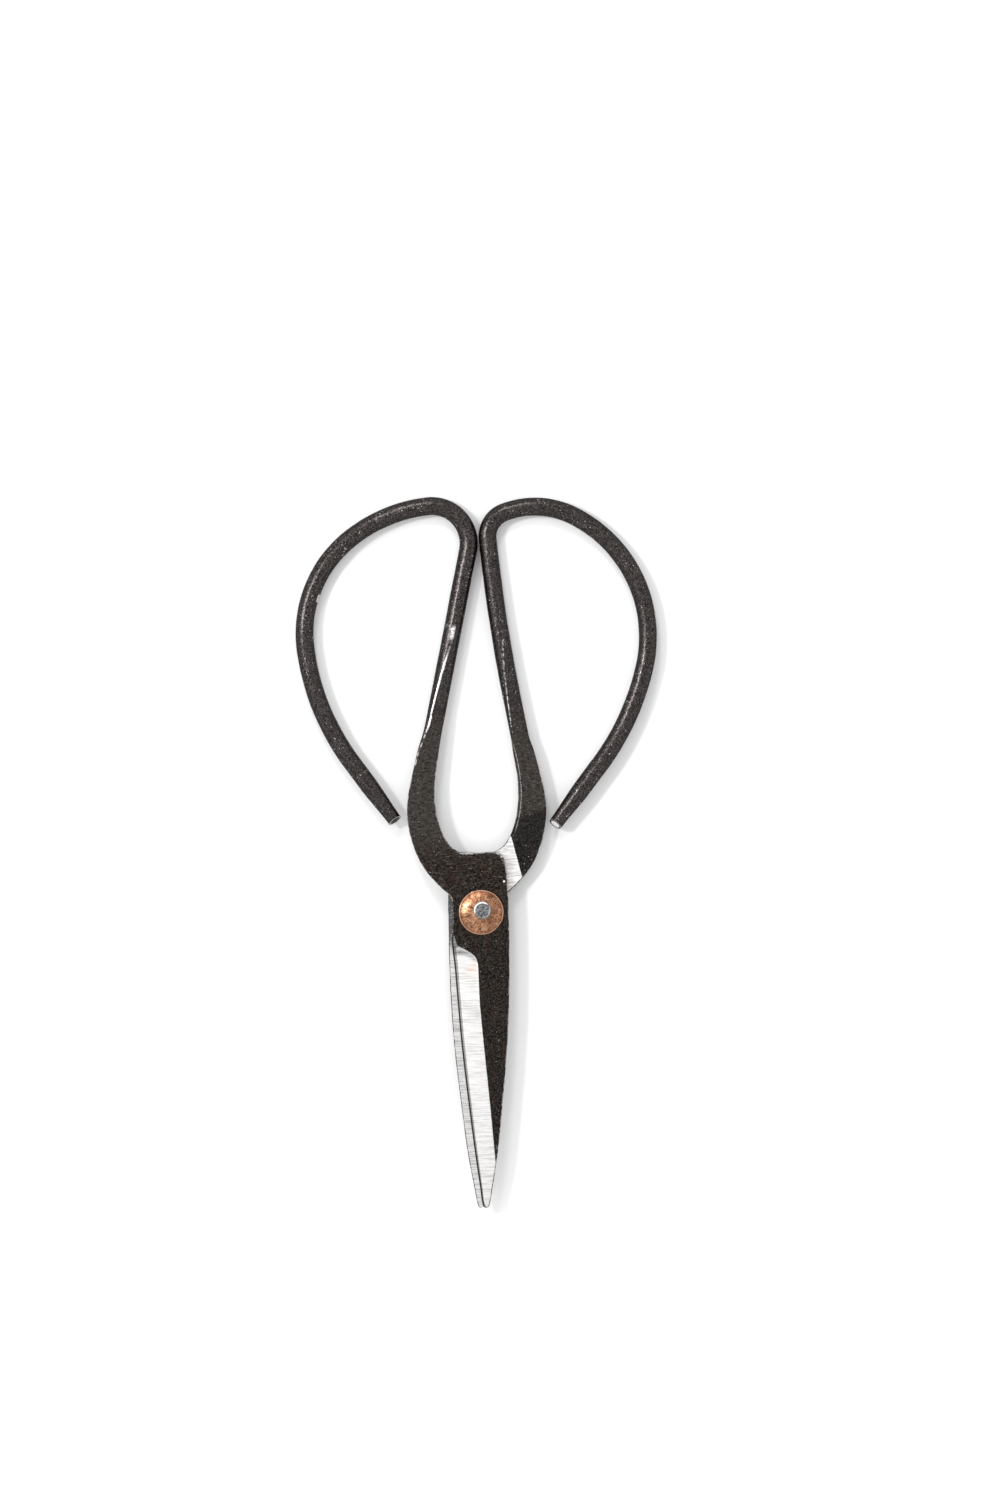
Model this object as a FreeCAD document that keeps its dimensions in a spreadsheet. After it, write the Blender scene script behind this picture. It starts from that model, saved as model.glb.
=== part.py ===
import FreeCAD, Part
import math
import os
import Sketcher

# Forged fabric shears, in millimetres.
#
# The origin is on the rivet's axis, at the flat lower end of the rivet. +Y runs along the shears
# towards the bows, the blades point to -Y, and +Z is up. The two halves meet on a level joint plane.
#
# Both halves are the same forging: a ground blade, a flat pivot block, a swan neck and a round rod
# bent into an open bow. The upper half lies as it is drawn here. The lower half is turned over about
# the long axis, so its bow comes out on the other side, and its rivet hole is a little off.

Vector = FreeCAD.Vector
Rotation = FreeCAD.Rotation
Placement = FreeCAD.Placement

DIMENSIONS = {
    # levels
    "joint_plane": 4.4,        # height of the plane where the two halves slide
    "slide_gap": 0.02,         # each inner face stands this far off the joint plane
    "plate_thickness": 2.8,    # at the pivot block
    "tip_thickness": 1.4,      # at the blade's tip, before the bevel
    "neck_top": 1.9,           # top of the neck over the joint plane, where the rod begins
    "neck_dip": 1.3,           # how far the neck reaches past the joint plane
    # rod
    "rod_diameter": 4.65,
    "rod_root_diameter": 2.6,  # where the rod grows out of the neck
    "rod_root_length": 16.0,
    "rod_end_diameter": 3.6,
    "rod_end_length": 12.0,
    # bevel of the blade
    "edge_thickness": 0.35,
    # rivet and washers
    "pin_diameter": 3.0,
    "running_clearance": 0.05,
    "seat_clearance": 0.02,
    "head_diameter": 4.5,
    "head_height": 0.3,
    "head_chamfer": 0.15,
    "washer_diameter": 11.3,
    "washer_rim": 0.3,
    "washer_crown": 1.27,
    "washer_land": 5.2,        # diameter of the flat on top of the crown
    "washer_hollow": 9.6,      # diameter of the hollow underneath
    "washer_hollow_height": 0.5,
    "washer_shift_x": -0.33,   # the washers' centres lie off the pin's axis
    "washer_shift_y": -0.5,
    # how the lower half lies once it is turned over
    "lower_shift": -2.03,
    "lower_turn": 0.83,
}

# Plan outline of the blade, pivot block and neck. Each stretch is an arc through a middle point to its
# end, or a straight line where the middle is None.
OUTLINE_START = (0.96, -74.11)
OUTLINE = [
    ((4.52, -49.19), (6.63, -18.97)),      # spine
    ((6.66, -3.0), (5.95, 11.2)),          # side of the pivot block
    ((5.2, 13.6), (2.9, 14.65)),           # shoulder
    (None, (-4.2, 14.3)),                  # top of the pivot block
    ((-9.25, 18.2), (-11.6, 26.6)),        # inside of the swan neck
    ((-11.65, 32.4), (-10.68, 39.18)),
    (None, (-9.3, 56.0)),                  # the neck ends inside the rod
    (None, (-10.5, 56.0)),
    (None, (-16.22, 39.24)),
    ((-18.3, 30.5), (-18.55, 21.62)),      # outside of the swan neck
    ((-15.9, 13.0), (-8.4, 3.94)),
    ((-7.75, -1.0), (-8.02, -7.5)),        # heel of the blade
    ((-5.31, -37.75), (-0.66, -74.85)),    # cutting edge
    ((0.22, -75.06), OUTLINE_START),       # tip
]

# The blade tapers from here to its tip, and the top of the neck falls between the other two.
TAPER_START_Y = -8.0
TIP_Y = -75.1
NECK_TOP_START_Y = 12.0
NECK_TOP_END_Y = 36.0

# The inner face is ground flat up to this slanting line, and the forged neck swells past it.
GROUND_LIMIT = ((-9.8, 18.1), (-12.5, 7.0))
SWELL_LENGTH = 8.3

# The bevel: (y, x at the cutting edge, x where it meets the black face), at the heel and past the tip.
BEVEL_HEEL = (-12.0, -7.5, -1.3)
BEVEL_TIP = (-76.0, -0.55, 3.55)

# The rod's centre line: start, heading in degrees, then (length, turn in degrees) for each stretch.
UPPER_BOW = {
    "start": (-11.85, 46.0),
    "heading": 78.42,
    "stretches": [(45.67, 0.0), (17.52, 107.8), (21.29, 31.57), (31.47, 59.16), (30.98, 29.06),
                  (6.45, 0.0)],
}
LOWER_BOW = {
    "start": (-12.56, 43.19),
    "heading": 80.14,
    "stretches": [(12.5, 0.0), (38.27, 5.44), (8.35, 74.45), (18.04, 47.97), (45.18, 75.88),
                  (27.57, 24.19), (6.74, 0.0)],
}

WIDE = 300.0    # longer than the object, for cuts that go all the way through
MARGIN = 2.0    # how far a cutting profile runs past the steel

doc = FreeCAD.newDocument("shears")


def make_sheet():
    sheet = doc.addObject("Spreadsheet::Sheet", "sizes")
    for row, (alias, value) in enumerate(DIMENSIONS.items(), start=1):
        sheet.set(f"A{row}", alias)
        sheet.set(f"B{row}", str(value))
        sheet.setAlias(f"B{row}", alias)
    doc.recompute()
    return sheet


sheet = make_sheet()


def cells(expression):
    """Turn the aliases in an expression into references to the sheet."""
    words = expression.replace("(", " ( ").replace(")", " ) ").split()
    return " ".join(f"sizes.{word}" if word in DIMENSIONS else word for word in words)


def size(expression):
    """The number that an expression over the sheet stands for."""
    return float(sheet.evalExpression(cells(expression)))


def upright(x, y, angle):
    """A vertical plane through (x, y): its own x axis points along angle, its own y axis along +Z."""
    turn = Rotation(Vector(0, 0, 1), angle).multiply(Rotation(Vector(1, 0, 0), 90))
    return Placement(Vector(x, y, 0), turn)


def level(height=0.0):
    return Placement(Vector(0, 0, height), Rotation())


def add_body(label):
    body = doc.addObject("PartDesign::Body", label)
    body.Label = label
    return body


def add_sketch(body, name, plane):
    origin_plane = next(item for item in body.Origin.OriginFeatures if item.Role == "XY_Plane")
    sketch = body.newObject("Sketcher::SketchObject", name)
    sketch.AttachmentSupport = [(origin_plane, "")]
    sketch.MapMode = "FlatFace"
    sketch.AttachmentOffset = plane
    return sketch


def fix_point(sketch, edge, end, x, y):
    """Hold one end of an edge at a place given by two expressions over the sheet."""
    for kind, expression in (("DistanceX", x), ("DistanceY", y)):
        index = sketch.addConstraint(Sketcher.Constraint(kind, -1, 1, edge, end, size(expression)))
        sketch.setExpression(f"Constraints[{index}]", cells(expression))


def add_polygon(body, name, plane, corners):
    """A closed sketch of straight lines whose corners are pairs of expressions."""
    sketch = add_sketch(body, name, plane)
    points = [Vector(size(x), size(y), 0) for x, y in corners]
    count = len(points)
    for index in range(count):
        sketch.addGeometry(Part.LineSegment(points[index], points[(index + 1) % count]))
    for index in range(count):
        following = (index + 1) % count
        sketch.addConstraint(Sketcher.Constraint("Coincident", index, 2, following, 1))
    for index, (x, y) in enumerate(corners):
        fix_point(sketch, index, 1, x, y)
    return sketch


def add_circle(body, name, plane, diameter, x=0.0, y=0.0):
    sketch = add_sketch(body, name, plane)
    circle = Part.Circle(Vector(x, y, 0), Vector(0, 0, 1), size(diameter) / 2)
    sketch.addGeometry(circle)
    index = sketch.addConstraint(Sketcher.Constraint("Diameter", 0, size(diameter)))
    sketch.setExpression(f"Constraints[{index}]", cells(diameter))
    return sketch


def add_outline(body):
    """The plan outline, as lines and three-point arcs."""
    sketch = add_sketch(body, "outline", level())
    sketch.setExpression("AttachmentOffset.Base.z", cells("joint_plane - neck_dip"))
    here = Vector(*OUTLINE_START, 0)
    for middle, end in OUTLINE:
        there = Vector(*end, 0)
        if middle is None:
            sketch.addGeometry(Part.LineSegment(here, there))
        else:
            sketch.addGeometry(Part.Arc(here, Vector(*middle, 0), there))
        here = there
    return sketch


def add_symmetric_pocket(body, name, profile):
    before = body.Tip.Shape.Volume
    pocket = body.newObject("PartDesign::Pocket", name)
    pocket.Profile = profile
    pocket.Midplane = True
    pocket.Length = WIDE
    doc.recompute()
    if pocket.Shape.Volume >= before:
        raise RuntimeError(f"{name} cut nothing")
    return pocket


def cut_top(body):
    """Thin the blade towards its tip and the neck towards the rod."""
    profile = add_polygon(body, "top_profile", upright(0, 0, 90), [
        (f"{TIP_Y - MARGIN}", "joint_plane + tip_thickness"),
        (f"{TAPER_START_Y}", "joint_plane + plate_thickness"),
        (f"{NECK_TOP_START_Y}", "joint_plane + plate_thickness"),
        (f"{NECK_TOP_END_Y}", "joint_plane + neck_top"),
        (f"{WIDE}", "joint_plane + neck_top"),
        (f"{WIDE}", f"joint_plane + plate_thickness + {MARGIN}"),
        (f"{TIP_Y - MARGIN}", f"joint_plane + plate_thickness + {MARGIN}"),
    ])
    add_symmetric_pocket(body, "top_cut", profile)


def cut_inner_face(body):
    """Grind the inner face flat up to the slanting line, past which the neck swells."""
    (x_high, y_high), (x_low, y_low) = GROUND_LIMIT
    along = math.degrees(math.atan2(y_high - y_low, x_high - x_low))
    profile = add_polygon(body, "inner_profile", upright(x_high, y_high, along + 90), [
        (f"{-WIDE}", "joint_plane + slide_gap"),
        ("0", "joint_plane + slide_gap"),
        (f"{SWELL_LENGTH}", "joint_plane - neck_dip"),
        (f"{SWELL_LENGTH}", f"joint_plane - neck_dip - {MARGIN}"),
        (f"{-WIDE}", f"joint_plane - neck_dip - {MARGIN}"),
    ])
    add_symmetric_pocket(body, "inner_cut", profile)


def cut_bevel(body):
    """Grind the bevel from the black face down to the cutting edge."""
    sections = []
    for name, (y, edge_x, face_x), thickness in (
        ("bevel_heel", BEVEL_HEEL, "plate_thickness"),
        ("bevel_tip", BEVEL_TIP, "tip_thickness"),
    ):
        sections.append(add_polygon(body, name, upright(0, y, 0), [
            (f"{edge_x}", "joint_plane + edge_thickness"),
            (f"{face_x}", f"joint_plane + {thickness}"),
            (f"{face_x}", f"joint_plane + {thickness} + {MARGIN}"),
            (f"{edge_x - MARGIN}", f"joint_plane + {thickness} + {MARGIN}"),
            (f"{edge_x - MARGIN}", "joint_plane + edge_thickness"),
        ]))
    before = body.Tip.Shape.Volume
    bevel = body.newObject("PartDesign::SubtractiveLoft", "bevel")
    bevel.Profile = sections[0]
    bevel.Sections = sections[1:]
    bevel.Ruled = True
    doc.recompute()
    if bevel.Shape.Volume >= before:
        raise RuntimeError("the bevel cut nothing")


def bow_path(bow):
    """The bow's centre line as edges, with the point and heading where it ends."""
    here = Vector(*bow["start"], 0)
    heading = math.radians(bow["heading"])
    edges = []
    for length, turn_degrees in bow["stretches"]:
        turn = math.radians(turn_degrees)
        chord = length if turn == 0 else 2 * length / turn * math.sin(turn / 2)
        aim = heading + turn / 2
        there = here + Vector(math.cos(aim), math.sin(aim), 0) * chord
        if turn == 0:
            edges.append(Part.LineSegment(here, there))
        else:
            half_chord = 2 * length / turn * math.sin(turn / 4)
            half_aim = heading + turn / 4
            middle = here + Vector(math.cos(half_aim), math.sin(half_aim), 0) * half_chord
            edges.append(Part.Arc(here, middle, there))
        here = there
        heading += turn
    return edges, here, math.degrees(heading)


def add_cone(body, name, point, heading, diameters, length):
    """A round taper on the rod's axis, from a point along a heading."""
    cone = body.newObject("PartDesign::AdditiveCone", name)
    turn = Rotation(Vector(0, 0, 1), Vector(math.cos(math.radians(heading)),
                                            math.sin(math.radians(heading)), 0))
    cone.Placement = Placement(Vector(point.x, point.y, 0), turn)
    cone.setExpression("Placement.Base.z", cells("joint_plane"))
    cone.setExpression("Radius1", cells(f"{diameters[0]} / 2"))
    cone.setExpression("Radius2", cells(f"{diameters[1]} / 2"))
    cone.setExpression("Height", cells(length))
    doc.recompute()


def add_bow(body, bow):
    """The round rod: it grows out of the neck, runs round the bow and tapers to its cut end."""
    edges, end, end_heading = bow_path(bow)
    start = Vector(*bow["start"], 0)
    backwards = bow["heading"] + 180
    add_cone(body, "rod_root", start, backwards, ("rod_diameter", "rod_root_diameter"),
             "rod_root_length")
    spine = add_sketch(body, "bow_line", level())
    spine.setExpression("AttachmentOffset.Base.z", cells("joint_plane"))
    for edge in edges:
        spine.addGeometry(edge)
    profile = add_circle(body, "rod_section", upright(start.x, start.y, bow["heading"] + 90),
                         "rod_diameter")
    profile.setExpression("AttachmentOffset.Base.z", cells("joint_plane"))
    doc.recompute()
    pipe = body.newObject("PartDesign::AdditivePipe", "bow_rod")
    pipe.Profile = profile
    pipe.Spine = (spine, [])
    doc.recompute()
    add_cone(body, "rod_end", end, end_heading, ("rod_diameter", "rod_end_diameter"),
             "rod_end_length")


def make_half(label, bow, hole_centre, clearance):
    body = add_body(label)
    blank = body.newObject("PartDesign::Pad", "blank")
    blank.Profile = add_outline(body)
    blank.setExpression("Length", cells("plate_thickness + neck_dip"))
    doc.recompute()
    cut_top(body)
    cut_inner_face(body)
    cut_bevel(body)
    add_bow(body, bow)
    hole = add_circle(body, "pivot_circle", level(), f"pin_diameter + 2 * {clearance}", *hole_centre)
    hole.setExpression("AttachmentOffset.Base.z", cells("joint_plane"))
    add_symmetric_pocket(body, "pivot_hole", hole)
    return body


def make_upper_half():
    return make_half("upper_half", UPPER_BOW, (0.0, 0.0), "running_clearance")


def make_lower_half():
    turned_over = Rotation(Vector(0, 0, 1), size("lower_turn")).multiply(
        Rotation(Vector(0, 1, 0), 180))
    lies = Placement(Vector(size("lower_shift"), 0, 2 * size("joint_plane")), turned_over)
    rivet_axis = lies.inverse().multVec(Vector(0, 0, 0))
    body = make_half("lower_half", LOWER_BOW, (rivet_axis.x, rivet_axis.y), "seat_clearance")
    body.Placement = lies
    return body


def revolve(body, name, profile):
    turned = body.newObject("PartDesign::Revolution", name)
    turned.Profile = profile
    turned.ReferenceAxis = (profile, ["V_Axis"])
    turned.Angle = 360
    doc.recompute()
    return turned


def make_rivet():
    """One steel pin with a low flat head hammered on each end."""
    body = add_body("rivet_pin")
    profile = add_polygon(body, "pin_profile", upright(0, 0, 0), [
        ("0", "0"),
        ("head_diameter / 2 - head_chamfer", "0"),
        ("head_diameter / 2", "head_chamfer"),
        ("head_diameter / 2", "head_height"),
        ("pin_diameter / 2", "head_height"),
        ("pin_diameter / 2", "2 * joint_plane - head_height"),
        ("head_diameter / 2", "2 * joint_plane - head_height"),
        ("head_diameter / 2", "2 * joint_plane - head_chamfer"),
        ("head_diameter / 2 - head_chamfer", "2 * joint_plane"),
        ("0", "2 * joint_plane"),
    ])
    revolve(body, "pin", profile)
    return body


def make_washer(label, above):
    """A dished copper washer, crown away from the blades, with an off-centre hole."""
    body = add_body(label)
    profile = add_polygon(body, "dish_profile", upright(0, 0, 0), [
        ("0", "washer_hollow_height"),
        ("washer_land / 2", "washer_hollow_height"),
        ("washer_hollow / 2", "0"),
        ("washer_diameter / 2", "0"),
        ("washer_diameter / 2", "washer_rim"),
        ("( washer_diameter + washer_land ) / 4", "( washer_rim + 2 * washer_crown ) / 3"),
        ("washer_land / 2", "washer_crown"),
        ("0", "washer_crown"),
    ])
    revolve(body, "dish", profile)
    shift_x = size("washer_shift_x")
    shift_y = size("washer_shift_y")
    face = size("joint_plane + plate_thickness + slide_gap / 2")
    if above:
        lies = Placement(Vector(shift_x, shift_y, face), Rotation())
    else:
        lies = Placement(Vector(shift_x, shift_y, 2 * size("joint_plane") - face),
                         Rotation(Vector(0, 1, 0), 180))
    rivet_axis = lies.inverse().multVec(Vector(0, 0, 0))
    hole = add_circle(body, "rivet_circle", level(), "pin_diameter + 2 * seat_clearance",
                      rivet_axis.x, rivet_axis.y)
    add_symmetric_pocket(body, "rivet_hole", hole)
    body.Placement = lies
    return body


def write_parts(bodies):
    doc.recompute()
    for item in doc.Objects:
        if "Invalid" in item.State or "Error" in item.State:
            raise RuntimeError(f"{item.Label} failed: {item.State}")
    for body in bodies:
        if body.Shape.isNull() or not body.Shape.isValid() or len(body.Shape.Solids) != 1:
            raise RuntimeError(f"{body.Label} is not one valid solid")
    os.makedirs("parts", exist_ok=True)
    for body in bodies:
        body.Shape.exportStep(f"parts/{body.Label}.step")
        box = body.Shape.BoundBox
        print(f"{body.Label}: volume {body.Shape.Volume:.1f} mm3, x {box.XMin:.2f} to {box.XMax:.2f},"
              f" y {box.YMin:.2f} to {box.YMax:.2f}, z {box.ZMin:.2f} to {box.ZMax:.2f}")


write_parts([
    make_upper_half(),
    make_lower_half(),
    make_rivet(),
    make_washer("front_washer", above=True),
    make_washer("back_washer", above=False),
])
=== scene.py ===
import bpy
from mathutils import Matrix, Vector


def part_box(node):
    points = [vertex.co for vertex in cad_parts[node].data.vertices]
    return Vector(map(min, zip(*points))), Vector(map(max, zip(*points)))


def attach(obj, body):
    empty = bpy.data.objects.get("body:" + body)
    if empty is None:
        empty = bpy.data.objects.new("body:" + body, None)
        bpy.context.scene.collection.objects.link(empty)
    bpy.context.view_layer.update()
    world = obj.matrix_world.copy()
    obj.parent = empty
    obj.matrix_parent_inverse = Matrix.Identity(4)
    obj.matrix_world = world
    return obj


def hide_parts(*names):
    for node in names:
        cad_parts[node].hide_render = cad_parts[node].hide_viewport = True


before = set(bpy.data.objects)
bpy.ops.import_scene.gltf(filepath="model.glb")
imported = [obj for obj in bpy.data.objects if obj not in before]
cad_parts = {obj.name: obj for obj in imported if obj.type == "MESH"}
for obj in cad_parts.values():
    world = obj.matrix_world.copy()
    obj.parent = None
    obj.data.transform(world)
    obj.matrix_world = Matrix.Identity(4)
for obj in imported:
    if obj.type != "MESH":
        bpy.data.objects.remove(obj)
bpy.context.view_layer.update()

import math

import bmesh
import bpy
import numpy as np
from mathutils import Vector, noise

# Forged fabric shears. Shapes are worked out in millimetres in the frame's own axes, and scaled to
# metres when a mesh is made.

MM = 0.001

# ---------------------------------- sizes taken from the frame

rivet_low, rivet_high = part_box("rivet_pin")
washer_low, washer_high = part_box("front_washer")
upper_low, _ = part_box("upper_half")

JOINT = (rivet_low.z + rivet_high.z) / 2 / MM          # the plane where the halves slide
PLATE = washer_low.z / MM - JOINT                      # thickness of the pivot block
HEAD_RADIUS = (rivet_high.x - rivet_low.x) / 2 / MM
RIVET_TOP = rivet_high.z / MM
WASHER_RADIUS = (washer_high.x - washer_low.x) / 2 / MM
WASHER_CENTRE = ((washer_high.x + washer_low.x) / 2 / MM, (washer_high.y + washer_low.y) / 2 / MM)
WASHER_CROWN = (washer_high.z - washer_low.z) / MM
TIP_Y = upper_low.y / MM

# ---------------------------------- sizes of the forging

SLIDE_GAP = 0.02
TIP_THICKNESS = 1.4
TAPER_START_Y = -8.0
NECK_TOP = 1.85            # top of the neck over the joint plane
NECK_FALL = (12.0, 37.0)   # where the outer face falls from the pivot block to the neck
NECK_DIP = 1.3             # how far the neck swells past the joint plane
ROD_RADIUS = 2.31
ROD_END_RADIUS = 1.8
ROD_END_LENGTH = 12.0
CORNER = 0.3               # rounding of the black edges
GROUND_CORNER = 0.06       # rounding where the inner face is ground
THINNEST = 0.02            # least thickness, at the cutting edge
HAMMER_DEPTH = 0.055       # the hammer's marks
HAMMER_FREQUENCY = 0.22
SCALE_DEPTH = 0.014        # the scale's grain
SCALE_FREQUENCY = 1.1
PIN_HOLE_RADIUS = 1.55
LOWER_SHIFT = -2.03        # how the lower half lies once it is turned over
LOWER_TURN = math.radians(0.83)

# Paired points on the two edges of the flat part, from the tip to the rod: left x, y, right x, y.
STATIONS = [
    (0.05, -75.04, 0.35, -75.04),
    (-0.50, -74.78, 0.82, -74.72),
    (-0.80, -73.9, 1.08, -73.9),
    (-1.25, -70.6, 1.68, -70.6),
    (-2.30, -63.0, 2.95, -63.0),
    (-4.16, -47.8, 4.68, -47.8),
    (-5.76, -32.7, 6.03, -32.7),
    (-6.72, -20.5, 6.58, -20.5),
    (-7.25, -13.5, 6.68, -13.5),
    (-7.72, -9.3, 6.70, -9.3),
    (-7.78, -7.2, 6.70, -6.6),
    (-7.52, -4.6, 6.66, -3.4),
    (-7.35, -1.0, 6.58, 1.2),
    (-7.45, 1.6, 6.42, 5.6),
    (-7.85, 3.2, 6.20, 8.6),
    (-8.60, 4.15, 5.92, 11.2),
    (-9.30, 4.8, 5.35, 13.2),
    (-10.0, 5.4, 4.10, 14.45),
    (-11.0, 6.35, 2.20, 14.7),
    (-12.2, 7.6, -0.80, 14.45),
    (-13.4, 8.96, -3.40, 14.25),
    (-14.9, 11.1, -5.40, 14.6),
    (-16.4, 14.03, -7.40, 15.75),
    (-17.7, 17.7, -9.30, 18.3),
    (-18.5, 21.4, -10.6, 21.5),
    (-18.75, 24.8, -11.35, 24.8),
    (-18.4, 29.4, -11.75, 29.4),
    (-17.4, 34.2, -11.45, 34.2),
    (-16.25, 39.2, -10.7, 39.2),
]

# The rod's centre line: start, heading, then (length, turn in degrees) for each stretch.
# The cut end slants: it moves back along the rod by end_slant for each unit of height.
UPPER_BOW = {
    "end_slant": 0.3,
    "start": (-11.85, 46.0),
    "heading": 78.42,
    "stretches": [(45.67, 0.0), (17.52, 107.8), (21.29, 31.57), (31.47, 59.16), (30.98, 29.06),
                  (18.45, 0.0)],
}
LOWER_BOW = {
    "end_slant": -0.38,
    "start": (-12.56, 43.19),
    "heading": 80.14,
    "stretches": [(12.5, 0.0), (38.27, 5.44), (8.35, 74.45), (18.04, 47.97), (45.18, 75.88),
                  (27.57, 24.19), (18.74, 0.0)],
}

# The inner face is ground flat up to this slanting line.
GROUND_LIMIT = ((-9.8, 18.1), (-12.5, 7.0))
GRIND_STEP = 0.1           # the black steel stands this much proud beyond the line
GRIND_STEP_WIDTH = 0.35
NECK_SLOPE = 0.145         # and swells further by this much for each mm

# The bevel's upper limit along the blade, and its rounded heel, both as (y, x).
BEVEL_LINE = [(-76.0, 3.6), (-64.3, 2.72), (-49.2, 1.45), (-34.0, 0.02), (-23.9, -0.88), (-13.0, -1.25)]
HEEL_CURVE = [(-14.5, -1.15), (-13.4, -1.22), (-12.33, -1.52), (-11.5, -2.1), (-10.9, -2.75),
              (-10.2, -3.8), (-9.78, -4.6), (-9.3, -5.5), (-9.0, -6.1)]
HONED_HEEL = [(-10.6, -5.85), (-9.6, -6.05), (-8.2, -6.6), (-7.0, -6.95), (-5.7, -7.38)]
HONED_WIDTH = [(-75.0, 0.55), (-60.0, 0.7), (-35.0, 0.85), (-20.0, 0.88), (-11.0, 0.95)]
EDGE_HEIGHT = 0.06
HONED_HEIGHT = 0.36
PLUNGE = 1.3               # length of the rounded end of the bevel
HONED_END_Y = -11.0        # the honed edge keeps its width from here on
CORNER_START_Y = -11.3     # the corner where the honed edge runs out, beside the heel
CORNER_END_Y = -5.7
CORNER_FADE = 1.6          # it comes in over this length
BLADE_END = (-12.5, -6.5)  # where the blade's section turns into the pivot block's
CUTTING_END = (-6.6, -5.0) # where the sharp left edge turns into a rounded black one

# How the hammered flats run out on the rod, by distance up the shank: depth and lean in degrees.
FLAT_DEPTH = [(36.0, 1.85), (44.0, 1.66), (50.0, 1.76), (56.0, 1.93), (62.0, 2.12), (68.0, 2.3)]
FLAT_DEPTH_UNDER = [(36.0, 1.3), (44.0, 1.42), (50.0, 1.62), (56.0, 1.86), (62.0, 2.1), (68.0, 2.3)]
FLAT_LEAN = [(36.0, 0.0), (44.0, 3.0), (50.0, 8.0), (58.0, 13.0), (68.0, 18.0)]
ROUNDING = (37.0, 58.0)    # where the plate's section turns into the rod's
SHANK_SECTIONS = 90        # how many sections of the rod belong to the shank, the rest to the bow
JOIN_SECTIONS = 8          # how many sections of the rod the flat part's edges reach over
SLANT_LENGTH = 4.0         # the sections lean over this length to meet the slanting cut end

# Columns of the section's outline.
CORNER_COLUMNS = 3
BEVEL_COLUMNS = 12
FACE_COLUMNS = 13
RIGHT_COLUMNS = 5
LEFT_COLUMNS = 4
TOP_COLUMNS = 2 * CORNER_COLUMNS + BEVEL_COLUMNS + FACE_COLUMNS
LOOP = 2 * TOP_COLUMNS + RIGHT_COLUMNS + LEFT_COLUMNS
STEP = 0.33                # distance between sections
SHARP_ANGLE = math.radians(32)    # faces that meet at more than this show a crease

# Distances that stand for outside an area, on a side wall, and far from a line.
OUTSIDE = -1.0
SIDE_WALL = -0.3
FAR = 9.0


def smoothstep(value):
    value = np.clip(value, 0.0, 1.0)
    return value * value * (3 - 2 * value)


def ramp(value, start, end):
    """0 up to start, rising smoothly to 1 at end."""
    return smoothstep((value - start) / (end - start))


def table(pairs, value):
    """Read a piecewise straight curve given as (input, output) pairs."""
    inputs, outputs = zip(*pairs)
    return np.interp(value, inputs, outputs)


# ---------------------------------- the forging's plan

def smooth_rail(points, steps):
    """A smooth curve through the points, with steps[i] samples on stretch i."""
    points = np.array(points, float)
    chords = np.linalg.norm(np.diff(points, axis=0), axis=1)
    slopes = np.diff(points, axis=0) / chords[:, None]
    tangents = np.empty_like(points)
    tangents[0], tangents[-1] = slopes[0], slopes[-1]
    before, after = chords[:-1, None], chords[1:, None]
    tangents[1:-1] = (after * slopes[:-1] + before * slopes[1:]) / (before + after)
    samples = []
    for i, count in enumerate(steps):
        f = (np.arange(count) / count)[:, None]
        leave, arrive = chords[i] * tangents[i], chords[i] * tangents[i + 1]
        samples.append((2 * f**3 - 3 * f**2 + 1) * points[i] + (f**3 - 2 * f**2 + f) * leave
                       + (3 * f**2 - 2 * f**3) * points[i + 1] + (f**3 - f**2) * arrive)
    samples.append(points[-1:])
    return np.vstack(samples)


def bow_line(bow):
    """Points and headings along the rod's centre line, about STEP apart."""
    here = np.array(bow["start"], float)
    heading = math.radians(bow["heading"])
    points, headings = [here], [heading]
    for length, turn_degrees in bow["stretches"]:
        count = max(2, round(length / STEP))
        turn = math.radians(turn_degrees) / count
        for _ in range(count):
            middle = heading + turn / 2
            here = here + length / count * np.array([math.cos(middle), math.sin(middle)])
            heading += turn
            points.append(here)
            headings.append(heading)
    return np.array(points), np.array(headings)


def plan_sections(bow):
    """The left and right end of every section, from the tip to the rod's cut end, and how many of the
    sections belong to the flat part."""
    centres, headings = bow_line(bow)
    along = np.concatenate([[0.0], np.cumsum(np.linalg.norm(np.diff(centres, axis=0), axis=1))])
    narrowing = ramp(along, along[-1] - ROD_END_LENGTH, along[-1])
    radius = ROD_RADIUS + (ROD_END_RADIUS - ROD_RADIUS) * narrowing
    side = np.stack([-np.sin(headings), np.cos(headings)], axis=1) * radius[:, None]
    rod_left, rod_right = centres + side, centres - side
    left = [station[:2] for station in STATIONS] + [rod_left[0], rod_left[JOIN_SECTIONS]]
    right = [station[2:] for station in STATIONS] + [rod_right[0], rod_right[JOIN_SECTIONS]]
    spans = np.maximum(np.linalg.norm(np.diff(np.array(left), axis=0), axis=1),
                       np.linalg.norm(np.diff(np.array(right), axis=0), axis=1))
    steps = np.maximum(3, np.ceil(spans / STEP)).astype(int)
    flat_left, flat_right = smooth_rail(left, steps), smooth_rail(right, steps)
    left = np.vstack([flat_left, rod_left[JOIN_SECTIONS + 1:]])
    right = np.vstack([flat_right, rod_right[JOIN_SECTIONS + 1:]])
    return left, right, len(flat_left)


# ---------------------------------- the forging's height

def plate_top(y):
    """Height of the black outer face over the joint plane."""
    thin = TIP_THICKNESS + (PLATE - TIP_THICKNESS) * np.clip((y - TIP_Y) / (TAPER_START_Y - TIP_Y), 0, 1)
    return thin - (PLATE - NECK_TOP) * ramp(y, *NECK_FALL)


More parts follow.
